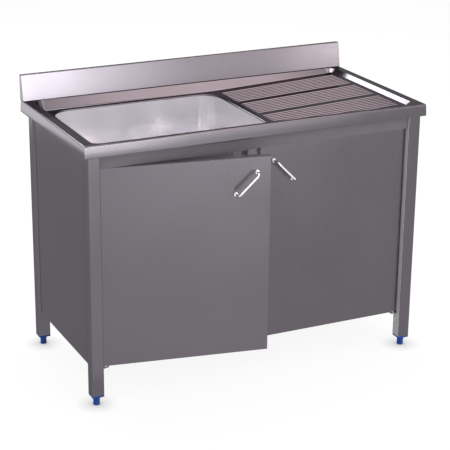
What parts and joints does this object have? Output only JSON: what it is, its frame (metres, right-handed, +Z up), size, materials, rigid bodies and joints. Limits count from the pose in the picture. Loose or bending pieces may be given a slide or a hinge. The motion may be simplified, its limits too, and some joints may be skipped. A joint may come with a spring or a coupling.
{
  "type": "sink unit",
  "caption": "Free-standing stainless steel sink cupboard with a bowl, a ribbed drainer, a splashback, swing doors, closed sides and height-adjustable feet.",
  "frame": {"origin": "on the floor, under the middle of the unit's outline with its left door ajar", "axes": "+X along the worktop towards the drainer, +Y towards the wall, +Z up"},
  "size_m": [1.2, 0.6892, 0.9513],
  "materials": {
    "satin_steel": "satin sheet",
    "bright_steel": "fine satin",
    "chrome": "polished",
    "blue_plastic": "moulded",
    "rubber": "matt",
    "white_nylon": "moulded",
    "grey_plastic": "moulded"
  },
  "bodies": {
    "cabinet": {"worktop": "satin_steel", "splashback": "satin_steel", "bowl": "bright_steel", "waste_flange": "bright_steel", "waste_grid": "bright_steel", "waste_gasket": "rubber", "waste_nut": "white_nylon", "waste_tail": "white_nylon", "tail_nut": "white_nylon", "front_rail": "satin_steel", "back_rail": "satin_steel", "side_panel_left": "satin_steel", "side_panel_right": "satin_steel", "back_panel": "satin_steel", "base_shelf": "satin_steel", "drainer_stiffener_1": "satin_steel", "drainer_stiffener_2": "satin_steel", "leg_front_left": "satin_steel", "leg_front_right": "satin_steel", "leg_back_left": "satin_steel", "leg_back_right": "satin_steel", "foot_insert_front_left": "blue_plastic", "foot_insert_front_right": "blue_plastic", "foot_insert_back_left": "blue_plastic", "foot_insert_back_right": "blue_plastic", "left_top_bush": "white_nylon", "left_bottom_bush": "white_nylon", "left_pivot_tab": "satin_steel", "left_catch": "grey_plastic", "right_top_bush": "white_nylon", "right_bottom_bush": "white_nylon", "right_pivot_tab": "satin_steel", "right_catch": "grey_plastic"},
    "left_door": {"left_door_skin": "satin_steel", "left_door_liner": "satin_steel", "left_handle": "chrome", "left_rosette_upper": "chrome", "left_rosette_lower": "chrome", "left_top_pin": "bright_steel", "left_bottom_pin": "bright_steel", "left_strike": "bright_steel"},
    "right_door": {"right_door_skin": "satin_steel", "right_door_liner": "satin_steel", "right_handle": "chrome", "right_rosette_upper": "chrome", "right_rosette_lower": "chrome", "right_top_pin": "bright_steel", "right_bottom_pin": "bright_steel", "right_strike": "bright_steel"},
    "foot_front_left": {"foot_front_left": "blue_plastic"},
    "foot_front_right": {"foot_front_right": "blue_plastic"},
    "foot_back_left": {"foot_back_left": "blue_plastic"},
    "foot_back_right": {"foot_back_right": "blue_plastic"}
  },
  "joints": [
    {"name": "left_door_hinge", "type": "hinge", "parent": "cabinet", "child": "left_door", "pos_m": [-0.5305, -0.21694, 0.45], "axis": [0, 0, -1], "range_deg": [-10, 85]},
    {"name": "right_door_hinge", "type": "hinge", "parent": "cabinet", "child": "right_door", "pos_m": [0.5305, -0.21694, 0.45], "axis": [0, 0, 1], "range_deg": [0, 95]},
    {"name": "foot_front_left_screw", "type": "slide", "parent": "cabinet", "child": "foot_front_left", "axis": [0, 0, -1], "range_m": [0, 0.025]},
    {"name": "foot_front_right_screw", "type": "slide", "parent": "cabinet", "child": "foot_front_right", "axis": [0, 0, -1], "range_m": [0, 0.025]},
    {"name": "foot_back_left_screw", "type": "slide", "parent": "cabinet", "child": "foot_back_left", "axis": [0, 0, -1], "range_m": [0, 0.025]},
    {"name": "foot_back_right_screw", "type": "slide", "parent": "cabinet", "child": "foot_back_right", "axis": [0, 0, -1], "range_m": [0, 0.025]}
  ]
}
